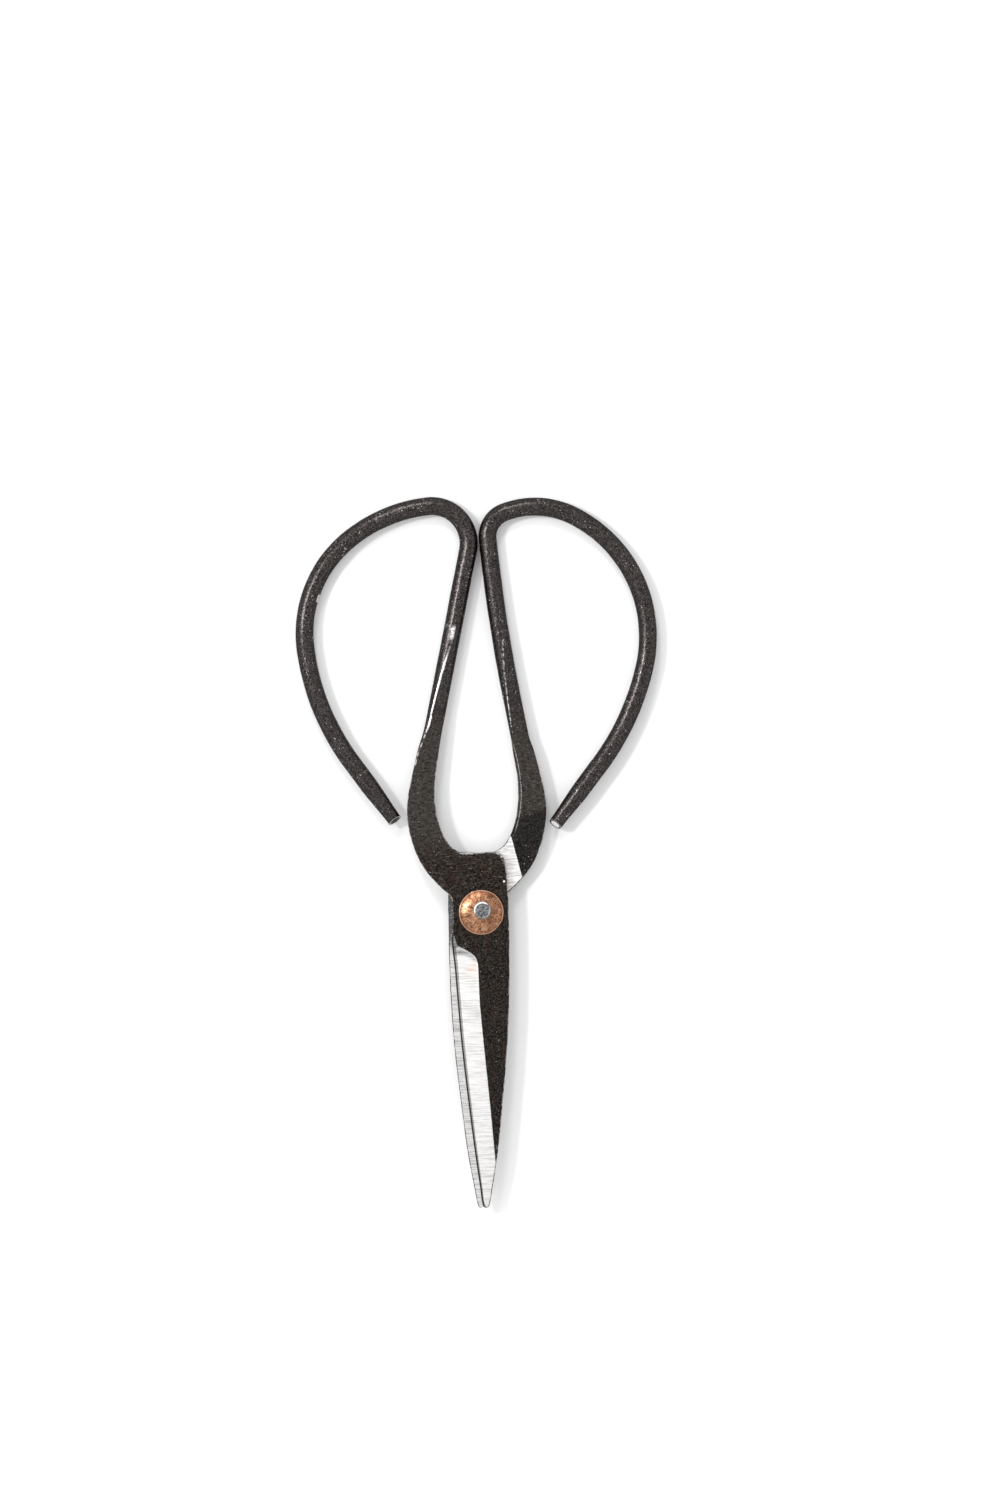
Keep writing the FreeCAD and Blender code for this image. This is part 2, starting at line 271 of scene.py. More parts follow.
def outer_face(x, y, edge_x):
    """Height over the joint plane, and how far inside the ground and honed areas, in mm."""
    top = plate_top(y)
    honed = table(HONED_WIDTH, np.minimum(y, HONED_END_Y))
    reach = table(BEVEL_LINE, y) - edge_x
    from_edge = x - edge_x
    honing = EDGE_HEIGHT + from_edge / honed * (HONED_HEIGHT - EDGE_HEIGHT)
    rise = HONED_HEIGHT + (from_edge - honed) / (reach - honed) * (top - HONED_HEIGHT)
    bevel = np.where(from_edge < honed, honing, rise)

    # the bevel runs out in a rounded heel
    heel_y, heel_x = zip(*HEEL_CURVE[::-1])
    heel = np.interp(x, heel_x, heel_y)
    into_heel = np.clip((y - heel + PLUNGE) / PLUNGE, 0, 1)
    bevel = bevel + (top - bevel) * into_heel**2

    # and the honed edge in a small corner beside it
    corner_reach = np.maximum(table(HONED_HEEL, y) - edge_x, 0.05)
    corner = EDGE_HEIGHT + from_edge / corner_reach * (top - EDGE_HEIGHT)
    in_corner = (y > CORNER_START_Y) & (y < CORNER_END_Y)
    beside = np.maximum(bevel, np.minimum(corner, top)) - bevel
    corner = bevel + beside * ramp(y, CORNER_START_Y, CORNER_START_Y + CORNER_FADE)
    height = np.where(in_corner, corner, bevel)
    height = np.where(y > CORNER_END_Y, top, height)

    ground_blade = np.minimum(reach - from_edge, (heel - y) * 0.9)
    ground_corner = np.where(in_corner, corner_reach - from_edge, OUTSIDE)
    ground = np.where(y > CORNER_END_Y, OUTSIDE, np.maximum(ground_blade, ground_corner))
    honed_area = np.maximum(honed - from_edge, np.where(ground_blade < 0.12, ground_corner, OUTSIDE))
    return np.minimum(height, top), ground, honed_area


def inner_face(x, y):
    """How far the inner face swells past the joint plane, and how far inside the ground area, in mm."""
    (x_high, y_high), (x_low, y_low) = GROUND_LIMIT
    length = math.hypot(x_high - x_low, y_high - y_low)
    beyond = ((x - x_high) * -(y_high - y_low) + (y - y_high) * (x_high - x_low)) / length
    swell = GRIND_STEP * smoothstep(beyond / GRIND_STEP_WIDTH) + NECK_SLOPE * np.maximum(beyond, 0)
    swell = NECK_DIP * (1 - np.exp(-(swell / NECK_DIP)**1.5))**0.6667
    return swell, -beyond


# ---------------------------------- the forging's sections

def columns(width, honed, reach, blade):
    """Distances from the left edge of the columns across the top, for one section."""
    plain = np.array([0.0, 0.04, 0.12, 0.3])
    sharp = np.linspace(0, honed, CORNER_COLUMNS + 1)
    left = plain + (sharp - plain) * blade
    middle = 0.48 * width + (min(reach, width - 0.5) - 0.48 * width) * blade
    middle = max(middle, left[-1] + 0.01 * width)
    right = np.minimum(np.array([0.3, 0.12, 0.04, 0.0]), width * np.array([0.2, 0.1, 0.04, 0.0]))
    bevel = np.linspace(left[-1], middle, BEVEL_COLUMNS + 1)[1:]
    face = np.linspace(middle, width - right[0], FACE_COLUMNS + 1)[1:]
    return np.concatenate([left, bevel, face, (width - right)[1:]])


def round_corner(distance, radius):
    """How much a rounded corner takes off at this distance from the edge."""
    inside = np.clip(radius - distance, 0, radius)
    return radius - np.sqrt(np.maximum(radius**2 - inside**2, 0))


def join_sides(top, right, bottom, left):
    """Values around a section. The top's and the bottom's both run from left to right, and the two sides
    each have one value."""
    return np.concatenate([top, np.full(RIGHT_COLUMNS - 1, right), bottom[::-1],
                           np.full(LEFT_COLUMNS - 1, left)])


def plate_section(left, right, width):
    """A section of the flat part: its outline, how far inside the ground and the honed area each point
    is, and the columns' distances from the left edge."""
    y_left = left[1]
    blade = float(1 - ramp(y_left, *BLADE_END))
    cutting = float(1 - ramp(y_left, *CUTTING_END))
    honed_width = min(float(table(HONED_WIDTH, min(y_left, HONED_END_Y))), 0.3 * width)
    reach = float(table(BEVEL_LINE, y_left)) - left[0]
    across = columns(width, honed_width, reach, blade)
    from_right = width - across
    spots = left + (right - left) / max(width, 1e-6) * across[:, None]

    if y_left < CUTTING_END[1]:
        top, ground, honed = outer_face(spots[:, 0], spots[:, 1], left[0])
    else:
        top = plate_top(spots[:, 1])
        ground = honed = np.full(len(spots), OUTSIDE)
    corner = min(CORNER, 0.3 * width)
    top = top - round_corner(from_right, corner) - round_corner(across, corner) * (1 - cutting)
    top = np.maximum(top, EDGE_HEIGHT)
    ground = np.minimum(ground, from_right - corner * 0.6)

    swell, ground_under = inner_face(spots[:, 0], spots[:, 1])
    left_corner = GROUND_CORNER + (CORNER - GROUND_CORNER) * smoothstep(swell / 0.5)
    right_corner = left_corner + 0.5 * smoothstep(swell / 0.6)
    bottom = SLIDE_GAP - swell + round_corner(from_right, right_corner)
    bottom = bottom + round_corner(across, left_corner) * (1 - cutting)
    bottom = np.minimum(bottom, top - THINNEST)
    ground_under = np.minimum(ground_under, np.minimum(from_right - 0.2, across + 9 * cutting - 0.26))

    down = np.linspace(0, 1, RIGHT_COLUMNS + 1)[1:-1]
    up = np.linspace(0, 1, LEFT_COLUMNS + 1)[1:-1]
    heights = np.concatenate([top, top[-1] + (bottom[-1] - top[-1]) * down, bottom[::-1],
                              bottom[0] + (top[0] - bottom[0]) * up])
    offsets = join_sides(across - width / 2, width / 2, across - width / 2, -width / 2)
    edge_ground = 0.5 * cutting + SIDE_WALL * (1 - cutting)
    ground = join_sides(ground, SIDE_WALL, ground_under, edge_ground)
    honed = join_sides(honed, SIDE_WALL, np.full(len(across), OUTSIDE), 1.0)
    return np.stack([offsets, heights], axis=1), ground, honed, across


def section_loop(left, right, shank, is_flat):
    """One section as (offset across, height over the joint plane), with how far inside the ground and
    the honed area each point is, and how far from the cutting edge and from the nearer side."""
    width = float(np.linalg.norm(right - left))
    around = np.radians(180 - LEFT_COLUMNS / LOOP * 180 - np.arange(LOOP) / LOOP * 360)
    rod = np.stack([np.cos(around), np.sin(around)], axis=1) * (width / 2)
    if not is_flat:
        return rod, np.full(LOOP, OUTSIDE), np.full(LOOP, OUTSIDE), np.full(LOOP, FAR), np.full(LOOP, FAR)
    plate, ground, honed, across = plate_section(left, right, width)
    rounding = float(ramp(shank, *ROUNDING))
    loop = plate + (rod - plate) * rounding
    edge = join_sides(across, FAR, np.full(len(across), FAR), 0.0)
    inwards = np.minimum(across, width - across)
    rim = join_sides(inwards, 1.0, inwards, 1.0) + 4 * rounding
    return loop, ground, honed, edge, rim


def cut_flat(loop, depth, lean):
    """Hammer a flat into a section, and say how far outside it each point was."""
    normal = np.array([math.cos(math.radians(lean)), math.sin(math.radians(lean))])
    outside = loop @ normal - depth
    return loop - np.maximum(outside, 0)[:, None] * normal, outside


def ridge_distance(loop, outside, side):
    """Distance around the section from each point to the end of a flat; side is -1 for its left end."""
    steps = np.linalg.norm(np.roll(loop, -1, axis=0) - loop, axis=1)
    place = np.concatenate([[0], np.cumsum(steps)])
    total = place[-1]
    crossings = []
    for k in range(len(loop)):
        here, there = outside[k], outside[(k + 1) % len(loop)]
        if (here > 0) != (there > 0):
            crossings.append((side * loop[k, 0], place[k] + steps[k] * here / (here - there)))
    if not crossings:
        return np.full(len(loop), 9.0)
    gap = np.abs(place[:-1] - max(crossings)[1])
    return np.minimum(gap, total - gap)


def fractal(points, scale, seed, octaves=3):
    """Smooth noise from about -1 to 1 at each point."""
    out = np.empty(len(points))
    for i, (x, y, z) in enumerate(points):
        total, size, gain = 0.0, scale, 1.0
        for octave in range(octaves):
            total += gain * noise.noise(Vector((x * size + seed, y * size - seed, z * size + 7 * octave)))
            size *= 2.1
            gain *= 0.5
        out[i] = total
    return out


def hammer_flats(loop, shank):
    """Hammer the shank's two flats into a section, and say how far each point is from their ridges."""
    lean = 90 - float(table(FLAT_LEAN, shank))
    loop, outside = cut_flat(loop, float(table(FLAT_DEPTH, shank)), lean)
    upper_ridge = ridge_distance(loop, outside, -1)
    loop, outside = cut_flat(loop, float(table(FLAT_DEPTH_UNDER, shank)), lean + 180)
    return loop, np.minimum(upper_ridge, ridge_distance(loop, outside, 1))


def forge_surface(points, flow, along, grounds, seed):
    """Hammer marks and scale, on the black surfaces only, fading out towards the tip."""
    around = np.roll(points, -1, axis=1) - np.roll(points, 1, axis=1)
    forward = np.gradient(points, axis=0)
    normals = np.cross(around, forward)
    normals /= np.maximum(np.linalg.norm(normals, axis=2), 1e-9)[:, :, None]
    flat_flow = flow.reshape(-1, 3)
    hammered = flat_flow * np.array([1, 0.55, 1])
    wave = fractal(hammered, HAMMER_FREQUENCY, seed, 2).reshape(points.shape[:2])
    grain = fractal(flat_flow, SCALE_FREQUENCY, seed + 31, 2).reshape(points.shape[:2])
    black = smoothstep(-grounds / 0.3)
    depth = black * (HAMMER_DEPTH * (wave - 0.75) + SCALE_DEPTH * grain)
    thin = np.clip((along - 1.0) / 6.0, 0, 1)[:, None]
    return points + normals * (depth * thin)[:, :, None]


def build_forging(bow, seed):
    """The vertices of one half, with what its material needs to know at each."""
    left, right, flat_count = plan_sections(bow)
    centres = (left + right) / 2
    along = np.concatenate([[0.0], np.cumsum(np.linalg.norm(np.diff(centres, axis=0), axis=1))])
    rows = {key: [] for key in ("loop", "ground", "honed", "edge", "rim", "ridge")}
    for i in range(len(left)):
        is_flat = i < flat_count
        shank = centres[i][1]
        loop, ground, honed, edge, rim = section_loop(left[i], right[i], shank, is_flat)
        ridge = np.full(LOOP, FAR)
        if i < flat_count + SHANK_SECTIONS and ROUNDING[0] - 1 < shank < FLAT_DEPTH[-1][0]:
            loop, ridge = hammer_flats(loop, shank)
        for key, row in zip(rows, (loop, ground, honed, edge, rim, ridge)):
            rows[key].append(row)
    data = {key: np.array(values) for key, values in rows.items()}
    loops = data.pop("loop")
    offsets, heights = loops[:, :, 0], loops[:, :, 1]

    lengthwise = np.gradient(centres, axis=0)
    lengthwise /= np.linalg.norm(lengthwise, axis=1)[:, None]
    across = (right - left) / np.maximum(np.linalg.norm(right - left, axis=1), 1e-6)[:, None]
    slant = ramp(along, along[-1] - SLANT_LENGTH, along[-1]) * bow["end_slant"]
    xy = centres[:, None, :] + across[:, None, :] * offsets[:, :, None]
    xy = xy - lengthwise[:, None, :] * (slant[:, None] * heights)[:, :, None]
    points = np.dstack([xy, JOINT + heights])
    data["flow"] = np.dstack([offsets, np.repeat(along[:, None], LOOP, 1), heights])
    return forge_surface(points, data["flow"], along, data["ground"], seed), data


def turn_over(points):
    """The lower half is the same forging, turned over about the long axis and shifted a little."""
    x, y, z = -points[..., 0], points[..., 1], 2 * JOINT - points[..., 2]
    turned_x = x * math.cos(LOWER_TURN) - y * math.sin(LOWER_TURN) + LOWER_SHIFT
    turned_y = x * math.sin(LOWER_TURN) + y * math.cos(LOWER_TURN)
    return np.stack([turned_x, turned_y, z], axis=-1)


def add_mesh(name, vertices, faces, body, node, material, attributes):
    """Make a piece from vertices in millimetres, and give it to a body and a slot."""
    mesh = bpy.data.meshes.new(name)
    mesh.from_pydata([tuple(v) for v in np.asarray(vertices) * MM], [], faces)
    mesh.update()
    for key, values in attributes.items():
        values = np.asarray(values, np.float32)
        if values.ndim == 2:
            mesh.attributes.new(key, "FLOAT_VECTOR", "POINT").data.foreach_set("vector", values.ravel())
        else:
            mesh.attributes.new(key, "FLOAT", "POINT").data.foreach_set("value", values)
    mesh.materials.append(material)
    piece = bpy.data.objects.new(name, mesh)
    bpy.context.scene.collection.objects.link(piece)
    smooth(mesh)
    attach(piece, body)
    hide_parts(node)
    return piece


def smooth(mesh):
    mesh.polygons.foreach_set("use_smooth", [True] * len(mesh.polygons))
    mesh.set_sharp_from_angle(angle=SHARP_ANGLE)


def bore(piece, radius):
    """Cut the rivet's hole through one half."""
    shape = bpy.data.meshes.new("bore")
    form = bmesh.new()
    bmesh.ops.create_cone(form, cap_ends=True, segments=48, radius1=radius * MM, radius2=radius * MM,
                          depth=12 * MM)
    form.to_mesh(shape)
    form.free()
    cutter = bpy.data.objects.new("bore", shape)
    cutter.location = (0, 0, JOINT * MM)
    bpy.context.scene.collection.objects.link(cutter)
    cutting = piece.modifiers.new("bore", "BOOLEAN")
    cutting.operation = "DIFFERENCE"
    cutting.solver = "EXACT"
    cutting.object = cutter
    bpy.context.view_layer.update()
    evaluated = piece.evaluated_get(bpy.context.evaluated_depsgraph_get())
    bored = bpy.data.meshes.new_from_object(evaluated)
    piece.modifiers.clear()
    piece.data = bored
    bpy.data.objects.remove(cutter)
    smooth(bored)


CAP_RINGS = (0.93, 0.8, 0.6, 0.35)    # sizes of the rings that close the rod's cut end


def close_end(vertices, faces, values, start, shares, cut):
    """Close the ring of vertices that begins at start with smaller rings and a centre point."""
    ring = np.array(vertices[start:start + LOOP])
    middle = ring.mean(axis=0)
    previous = start

    def add_point(spot, like, share, ground):
        vertices.append(spot)
        values["flow"].append(values["flow"][like] * np.array([share, 1, share]))
        values["ground"].append(ground)
        values["honed"].append(OUTSIDE)
        for key in ("ridge", "edge", "rim"):
            values[key].append(FAR)
        values["cut"].append(cut * max(share, 0.01))

    def add_face(*corners):
        faces.append(corners[::-1] if start == 0 else corners)

    for share in shares:
        first = len(vertices)
        for k in range(LOOP):
            add_point(middle + (ring[k] - middle) * share, start + k, share, values["ground"][start + k])
        for k in range(LOOP):
            following = (k + 1) % LOOP
            add_face(previous + k, previous + following, first + following, first + k)
        previous = first
    centre = len(vertices)
    add_point(middle, start, 0.0, float(np.mean(values["ground"][start:start + LOOP])))
    for k in range(LOOP):
        add_face(previous + k, previous + (k + 1) % LOOP, centre)


def add_half(name, bow, seed, is_lower, body, node, material):
    points, data = build_forging(bow, seed)
    if is_lower:
        points = turn_over(points)
    count = len(points)
    vertices = list(points.reshape(-1, 3))
    values = {key: list(data[key].ravel()) for key in ("ground", "honed", "ridge", "edge", "rim")}
    values["flow"] = list(data["flow"].reshape(-1, 3))
    values["cut"] = [0.0] * len(vertices)
    faces = []
    for i in range(count - 1):
        here, there = i * LOOP, (i + 1) * LOOP
        for k in range(LOOP):
            following = (k + 1) % LOOP
            faces.append((here + k, here + following, there + following, there + k))
    close_end(vertices, faces, values, 0, (), 0.0)
    close_end(vertices, faces, values, (count - 1) * LOOP, CAP_RINGS, 1.0)
    values["lower"] = [float(is_lower)] * len(vertices)
    piece = add_mesh(name, vertices, faces, body, node, material, values)
    bore(piece, PIN_HOLE_RADIUS)


# ---------------------------------- rivet and washers

TURNS = 128
PIN_RADIUS = 1.5


def add_turned(name, profile, closed, centre, wobble, node, material, mirrored, seed):
    """Turn a profile of (radius, height) about a vertical axis; wobble makes it uneven, as hammered. All
    turned pieces ride with the lower half."""
    count = len(profile)
    if mirrored:
        profile = [(radius, 2 * JOINT - height) for radius, height in profile]
    vertices = []
    for t in range(TURNS):
        angle = 2 * math.pi * t / TURNS
        cos, sin = math.cos(angle), math.sin(angle)
        for radius, height in profile:
            dent = noise.noise(Vector((cos * 1.6 + seed, sin * 1.6, 0.2 * radius))) * wobble
            reach = radius - abs(dent) * min(1.0, radius / 3)
            vertices.append((centre[0] + cos * reach, centre[1] + sin * reach, height))
    faces = []
    for t in range(TURNS):
        start, following = t * count, (t + 1) % TURNS * count
        for k in range(count if closed else count - 1):
            after = (k + 1) % count
            faces.append((start + k, start + after, following + after, following + k))
        if not closed:
            faces.append((start, following, TURNS * count))
            faces.append((start + count - 1, TURNS * count + 1, following + count - 1))
    if not closed:
        for _, height in (profile[0], profile[-1]):
            vertices.append((centre[0], centre[1], height))
    if mirrored:
        faces = [face[::-1] for face in faces]
    offset = np.array(vertices) - np.array([centre[0], centre[1], JOINT])
    radius = np.linalg.norm(offset[:, :2], axis=1)
    add_mesh(name, vertices, faces, "lower", node, material, {"offset": offset, "radius": radius})


def add_rivet(material):
    """The pin, peened to a low flat-topped head at both ends."""
    top = RIVET_TOP - JOINT
    seat = PLATE + WASHER_CROWN - 0.01
    flat = HEAD_RADIUS - 0.5
    half = [(PIN_RADIUS, seat), (HEAD_RADIUS - 0.12, seat), (HEAD_RADIUS, seat + 0.11),
            (HEAD_RADIUS - 0.04, top - 0.13), (HEAD_RADIUS - 0.2, top - 0.01),
            (HEAD_RADIUS - 0.34, top - 0.01), (flat, top - 0.07), (flat - 0.5, top - 0.05),
            (0.6, top - 0.03)]
    under = [(radius, -height) for radius, height in half[::-1]]
    points = smooth_profile(under) + [(PIN_RADIUS, 0.0)] + smooth_profile(half)
    profile = [(radius, JOINT + height) for radius, height in points]
    add_turned("rivet", profile, closed=False, centre=(0, 0), wobble=0.1, node="rivet_pin",
               material=material, mirrored=False, seed=3.1)


def smooth_profile(points, steps=4):
    """A profile with its inner corners softened a little."""
    out = [points[0]]
    for before, corner, after in zip(points, points[1:], points[2:]):
        before, corner, after = np.array(before), np.array(corner), np.array(after)
        start, end = corner + (before - corner) * 0.4, corner + (after - corner) * 0.4
        for s in np.linspace(0, 1, steps):
            out.append(tuple((1 - s)**2 * start + 2 * s * (1 - s) * corner + s**2 * end))
    out.append(points[-1])
    return out


WASHER_RIM = 0.3
WASHER_HOLE = 1.53
WASHER_LAND = 2.5
WASHER_HOLLOW = 4.8
WASHER_HOLLOW_HEIGHT = 0.5
DOME_CONE = 0.28           # the share of the dome's fall that is straight; the rest is curved


def add_washer(name, node, material, mirrored, seed):
    """A dished copper washer, with its hole on the rivet's axis and its rim a little off it."""
    base = JOINT + PLATE
    dome = []
    for s in np.linspace(0, 1, 22):
        radius = WASHER_LAND + (WASHER_RADIUS - 0.12 - WASHER_LAND) * s
        drop = (WASHER_CROWN - WASHER_RIM) * (DOME_CONE * s + (1 - DOME_CONE) * s**2.3)
        dome.append((radius, base + WASHER_CROWN - drop))
    rim = [(WASHER_RADIUS - 0.03, base + WASHER_RIM - 0.05), (WASHER_RADIUS, base + 0.17),
           (WASHER_RADIUS - 0.02, base + 0.05), (WASHER_RADIUS - 0.08, base)]
    under = []
    for s in np.linspace(0, 1, 8):
        radius = WASHER_HOLLOW + (WASHER_HOLE - WASHER_HOLLOW) * s
        under.append((radius, base + WASHER_HOLLOW_HEIGHT * math.sin(s * math.pi / 2)))
    bore_top = [(WASHER_HOLE, base + WASHER_CROWN - 0.02)]
    profile = (under + bore_top + dome + rim)[::-1]
    add_turned(name, profile, closed=True, centre=WASHER_CENTRE, wobble=0.12, node=node,
               material=material, mirrored=mirrored, seed=seed)


# ---------------------------------- materials

class Shader:
    """A procedural material: its methods add nodes, and return the output to use next."""

    def __init__(self, name):
        self.material = bpy.data.materials.new(name)
        self.material.use_nodes = True
        self.tree = self.material.node_tree
        self.surface = next(n for n in self.tree.nodes if n.type == "BSDF_PRINCIPLED")

    def add(self, kind, inputs=(), output=0, **settings):
        made = self.tree.nodes.new(kind)
        for key, value in settings.items():
            setattr(made, key, value)
        for key, value in dict(inputs).items():
            self.feed(made.inputs[key], value)
        return made.outputs[output]

    def feed(self, socket, value):
        if isinstance(value, bpy.types.NodeSocket):
            self.tree.links.new(value, socket)
        else:
            socket.default_value = value

    def attribute(self, name, output="Fac"):
        return self.add("ShaderNodeAttribute", attribute_name=name, output=output)

    def math(self, operation, *values):
        return self.add("ShaderNodeMath", dict(enumerate(values)), operation=operation)

    def both(self, *masks):
        """All of the masks at once."""
        out = masks[0]
        for mask in masks[1:]:
            out = self.math("MULTIPLY", out, mask)
        return out

    def either(self, *masks):
        out = masks[0]
        for mask in masks[1:]:
            out = self.math("MAXIMUM", out, mask)
        return out

    def span(self, value, low, high, to_low=0.0, to_high=1.0):
        """Value going smoothly from to_low to to_high while its input goes from low to high."""
        return self.add("ShaderNodeMapRange", {"Value": value, "From Min": low, "From Max": high,
                                               "To Min": to_low, "To Max": to_high},
                        interpolation_type="SMOOTHSTEP")

    def band(self, value, rise, fall):
        """1 between two ramps, each given as (from 0, to 1)."""
        return self.both(self.span(value, *rise), self.span(value, *fall))

    def inverse(self, mask):
        return self.math("SUBTRACT", 1.0, mask)

    def parts(self, vector):
        """A vector's x, y and z."""
        return self.add("ShaderNodeSeparateXYZ", {0: vector}).node.outputs

    def millimetres(self):
        """The place on the shears, in millimetres."""
        return self.stretch(self.add("ShaderNodeTexCoord", output="Object"), (1 / MM, 1 / MM, 1 / MM))

    def slanted(self, vector, degrees, scale):
        """The vector turned about z and stretched, for marks that run at an angle."""
        return self.add("ShaderNodeMapping", {"Vector": vector, "Rotation": (0, 0, math.radians(degrees)),
                                              "Scale": scale})

    def stretch(self, vector, scale):
        return self.add("ShaderNodeVectorMath", {0: vector, 1: scale}, operation="MULTIPLY")

    def noise(self, vector, scale, detail=3.0, roughness=0.55):
        return self.add("ShaderNodeTexNoise", {"Vector": vector, "Scale": scale, "Detail": detail,
                                               "Roughness": roughness})

    def mix(self, factor, first, second):
        """Colours or numbers, the second where the factor is 1."""
        if isinstance(first, (int, float)) or isinstance(second, (int, float)):
            return self.add("ShaderNodeMix", {0: factor, 2: first, 3: second}, data_type="FLOAT")
        return self.add("ShaderNodeMix", {0: factor, 6: first, 7: second}, 2, data_type="RGBA")

    def near(self, place, spot, radius, soft):
        """1 within the radius of a spot given as (x, y), and 0 from radius + soft on."""
        flat = self.stretch(place, (1, 1, 0))
        gap = self.add("ShaderNodeVectorMath", {0: flat, 1: (*spot, 0)}, "Value", operation="DISTANCE")
        return self.span(gap, radius + soft, radius)

    def bump(self, height, distance, strength=1.0, normal=None):
        inputs = {"Height": height, "Distance": distance * MM, "Strength": strength}
        if normal is not None:
            inputs["Normal"] = normal
        return self.add("ShaderNodeBump", inputs)

    def finish(self, **sockets):
        """Feed the surface's sockets, named in small letters, and return the material."""
        for key, value in sockets.items():
            self.feed(self.surface.inputs[key.replace("_", " ").title().replace("Ior", "IOR")], value)
        return self.material


def grey(value, warm=0.0):
    """A near-neutral colour; warm leans it to brown, and below zero to blue."""
    return (value * (1 + warm), value, value * (1 - warm), 1.0)


# Colours, and marks on the pieces as (x, y) in mm.
RED_SCALE = (0.026, 0.0105, 0.007, 1)
# painted shade for the rod's sides as seen: browner and darker than its middle
ROD_SIDE_SHADE = (0.0050, 0.0026, 0.0020, 1)
STAIN_COLOUR = (0.50, 0.38, 0.30, 1)
RUST_COLOUR = (0.62, 0.38, 0.27, 1)
WARM_SHEEN = (1.0, 0.89, 0.86, 1)
BOW_KNOCK = (-40.4, 78.9)
BLOCK_KNOCK = (5.5, 7.2)
PATCH_STAIN = (6.6, 5.6)
BEVEL_RUST = (-2.4, -15.0)
WASHER_TARNISH = (-3.6, -1.5)
WASHER_FRECKLES = (2.4, 2.9)
# painted highlight: the side of the rivet's lip, towards the lamps, where a white crescent is painted
PAINTED_HIGHLIGHT_SIDE = (-0.55, 0.8, 0)    # the side where the rivet's lip is bright


class SteelShader(Shader):
    """The forged steel's shader, with the places, noises and masks that its parts share."""

    def __init__(self):
        super().__init__("forged_steel")
        self.flow = self.attribute("flow", "Vector")
        self.across, self.along, self.height = self.parts(self.flow)
        self.place = self.millimetres()
        self.x, self.y, _ = self.parts(self.place)
        self.broad = self.noise(self.flow, 0.35, 3.0)
        self.medium = self.noise(self.flow, 1.3, 4.0, 0.6)
        self.mottle = self.noise(self.flow, 2.4, 3.0, 0.7)
        self.fine = self.noise(self.flow, 4.5, 3.0, 0.65)
        self.specks = self.noise(self.stretch(self.flow, (1, 0.7, 1)), 3.2, 2.0, 0.5)
        self.streaks = self.noise(self.stretch(self.flow, (1, 0.12, 1)), 1.6, 3.0, 0.6)
        self.hatch_place = self.slanted(self.place, -5, (0.045, 1, 0))
        self.hatch = self.noise(self.hatch_place, 3.2, 4.0, 0.8)
        self.coarse_hatch = self.noise(self.hatch_place, 1.2, 3.0, 0.6)

        ragged = self.math("MULTIPLY_ADD", self.medium, 0.22, -0.11)
        self.ground = self.span(self.math("ADD", self.attribute("ground"), ragged), -0.04, 0.06)
        self.black = self.inverse(self.ground)
        self.honed = self.span(self.attribute("honed"), -0.05, 0.06)
        # painted shade: a dark line along the cutting edge, where the near blade's edge meets the far
        # blade
        cutting_edge_shade = self.span(self.attribute("edge"), 0.50, 0.34)
        self.painted_light_lip = self.both(cutting_edge_shade, self.span(self.along, 72.0, 69.0))
        self.rod = self.span(self.along, 122.0, 140.0)
        self.plate = self.inverse(self.rod)
        self.lower = self.attribute("lower")
        self.upper = self.inverse(self.lower)
        self.cut = self.attribute("cut")
        self.ridge = self.attribute("ridge")
        self.rim = self.attribute("rim")
        self.facing = self.add("ShaderNodeLayerWeight", {"Blend": 0.5}, "Facing")


def scale_colour(m):
    """Black forge scale: reddish on the plate, dashed on the neck, sooted beside the ground patch, and
    darkest on the rod, where painted shade turns it darker brown towards its sides as seen."""
    plate = m.mix(m.span(m.mottle, 0.38, 0.66), grey(0.0025, 0.3), grey(0.014, 0.32))
    plate = m.mix(m.span(m.streaks, 0.5, 0.72, 0.0, 0.7), plate, RED_SCALE)
    scratches = m.noise(m.slanted(m.place, 38, (0.25, 1.4, 0)), 2.0, 3.0, 0.7)
    scratches = m.both(m.span(scratches, 0.57, 0.66), m.span(m.y, 0.0, 8.0), 0.8)
    plate = m.mix(scratches, plate, grey(0.11, 0.2))

    dashes = m.noise(m.stretch(m.flow, (0.45, 1.3, 0)), 1.7, 3.0, 0.65)
    neck = m.mix(m.span(dashes, 0.38, 0.62), grey(0.010, 0.2), grey(0.038, 0.14))
    neck = m.mix(m.span(m.fine, 0.6, 0.7, 0.0, 0.6), neck, grey(0.11, 0.08))
    plate = m.mix(m.both(m.span(m.y, 10.0, 22.0), m.plate), plate, neck)

    soot_line = m.math("MULTIPLY_ADD", m.x, -0.28, m.math("MULTIPLY_ADD", m.medium, 2.0, m.y))
    soot = m.both(m.lower, m.span(soot_line, 22.6, 21.0), m.span(m.y, 8.0, 10.0), 0.9)
    plate = m.mix(soot, plate, grey(0.0045, 0.05))

    rod = m.mix(m.span(m.medium, 0.35, 0.7), grey(0.0016, 0.2), grey(0.0075, 0.14))
    # painted shade: the rod turns darker brown towards its sides as seen, and its paler middle stands in
    # for the overhead reflection
    rod = m.mix(m.span(m.facing, 0.12, 0.5), rod, ROD_SIDE_SHADE)
    return m.mix(m.span(m.fine, 0.64, 0.74, 0.0, 0.4), m.mix(m.rod, plate, rod), grey(0.09, 0.12))


def scale_gloss(m):
    """The scale's roughness and shine. The rod shines in grains, and less towards its sides."""
    rough = m.mix(m.rod, m.span(m.medium, 0.3, 0.7, 0.42, 0.6), m.span(m.mottle, 0.35, 0.65, 0.20, 0.34))
    grains = m.math("MULTIPLY_ADD", m.fine, 0.6, m.math("MULTIPLY", m.mottle, 0.4))
    plate_shine = m.span(m.mottle, 0.38, 0.62, 0.0, 0.28)
    shine = m.mix(m.rod, plate_shine, m.span(grains, 0.44, 0.57, 0.10, 1.1))
    return rough, m.mix(m.span(m.facing, 0.08, 0.6), shine, 0.03)


